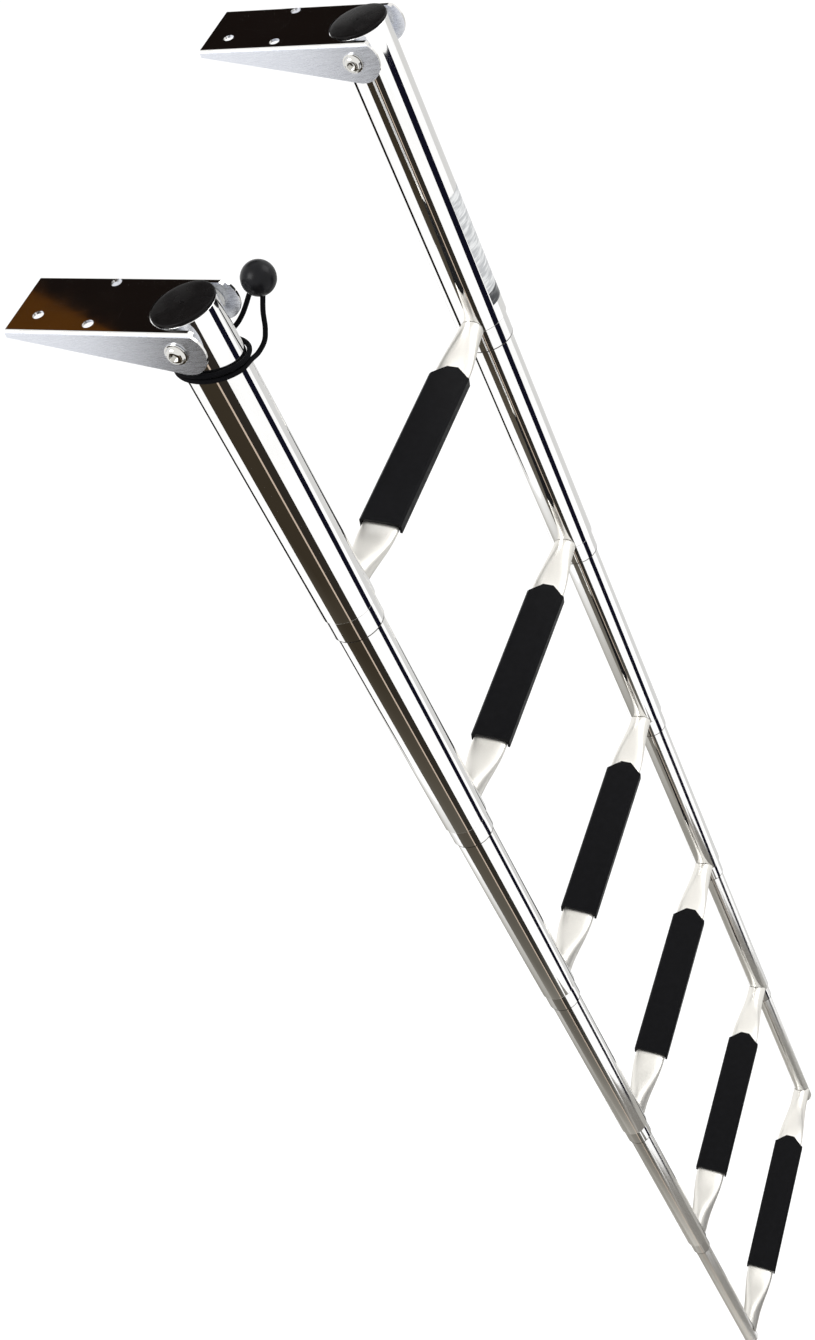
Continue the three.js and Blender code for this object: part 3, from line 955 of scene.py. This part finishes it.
olive = (0.04, 0.031, 0.02)
black = (0.006, 0.005, 0.004)
navy = (0.006, 0.006, 0.014)
warm = (0.09, 0.033, 0.006)
cream = (0.62, 0.5, 0.4)
mid = (0.12, 0.11, 0.09)
side_tones = [
    (-2.8, (0.62, 0.6, 0.55)),
    (-2.3, (0.45, 0.43, 0.39)),
    (-1.9, (0.27, 0.255, 0.225)),
    (-1.45, (0.14, 0.13, 0.11)),
    (-0.95, (0.085, 0.073, 0.055)),
    (-0.62, olive),
    (0, olive),
]
edge_tones = [
    (-2.8, (0.6, 0.58, 0.53)),
    (-2.3, (0.38, 0.36, 0.33)),
    (-1.9, (0.12, 0.115, 0.1)),
    (-1.45, (0.03, 0.028, 0.024)),
    (-0.95, (0.028, 0.024, 0.019)),
    (0, (0.026, 0.022, 0.018)),
]
near_side = upright((-0.57, -0.095), (-0.57, 0.335), DEEP, -0.08)
stage_card("flag_near_side", near_side, olive, gradient=("Z", side_tones))
side_end = upright((-0.57, 0.335), (-0.57, 0.475), DEEP, -0.33)
stage_card("flag_side_end", side_end, olive, gradient=("Z", side_tones))
near_edge = upright((-0.575, -0.42), (-0.575, -0.135), DEEP, -0.08)
stage_card("flag_near_edge", near_edge, black, gradient=("Z", edge_tones))
stage_card("card_cream", upright((-0.6, -0.15), (-0.6, -0.08), DEEP, -0.08), cream)
stage_card("flag_front", upright((-0.02, -0.65), (0.3, -0.65), DEEP, -0.2), navy)
stage_card("flag_left_line", upright((-0.25, 2.4), (0.45, 2.4), DEEP, -0.8), black)
stage_card("card_right_grey", upright((1.5, -1.2), (1.5, 1.4), DEEP, -0.3), (0.72, 0.72, 0.71))
low_tones = [
    (-3.4, (0.45, 0.43, 0.39)),
    (-2.2, (0.3, 0.29, 0.26)),
    (-1.6, (0.55, 0.54, 0.51)),
    (-1.3, (0.95, 0.95, 0.94)),
]
low_side = upright((-0.575, 0.47), (0.5, 1.3), DEEP, -1.3)
stage_card("flag_low_side", low_side, mid, gradient=("Z", low_tones))
stage_card("card_low_left", level((-0.65, -0.78), (0.12, -0.15)), (0.24, 0.23, 0.21))
stage_card("card_low_right", level((0.125, -0.6), (0.6, 0.1)), (0.42, 0.41, 0.38))
stage_card("flag_above", upright((0.6, 1.143), (1.65, 0.243), 0.42, 1.4), (0.01, 0.007, 0.006))
glow = [(0.5, 0.79, 0.735), (0.594, 0.765, 0.7), (0.553, 0.595, 0.737)]
stage_card("card_warm", [*glow, (0.52, 0.6, 0.8)], warm)

world = bpy.data.worlds.new("studio")
bpy.context.scene.world = world
world.use_nodes = True
world.node_tree.nodes["Background"].inputs["Color"].default_value = (1, 1, 1, 1)
world.node_tree.nodes["Background"].inputs["Strength"].default_value = 1.12


def area_light(name, place, target, size, power):
    data = bpy.data.lights.new(name, "AREA")
    data.size = size
    data.energy = power
    lamp = bpy.data.objects.new(name, data)
    lamp.location = place
    direction = Vector(target) - Vector(place)
    lamp.rotation_euler = direction.to_track_quat("-Z", "Y").to_euler()
    bpy.context.scene.collection.objects.link(lamp)


area_light("key_light", (-2.2, 1.2, 2.4), (0, 0, -0.8), 1.8, 60)
area_light("fill_light", (1.8, -2.4, 1.6), (0, 0, -0.8), 2.2, 40)
bpy.context.scene.view_settings.view_transform = "Standard"
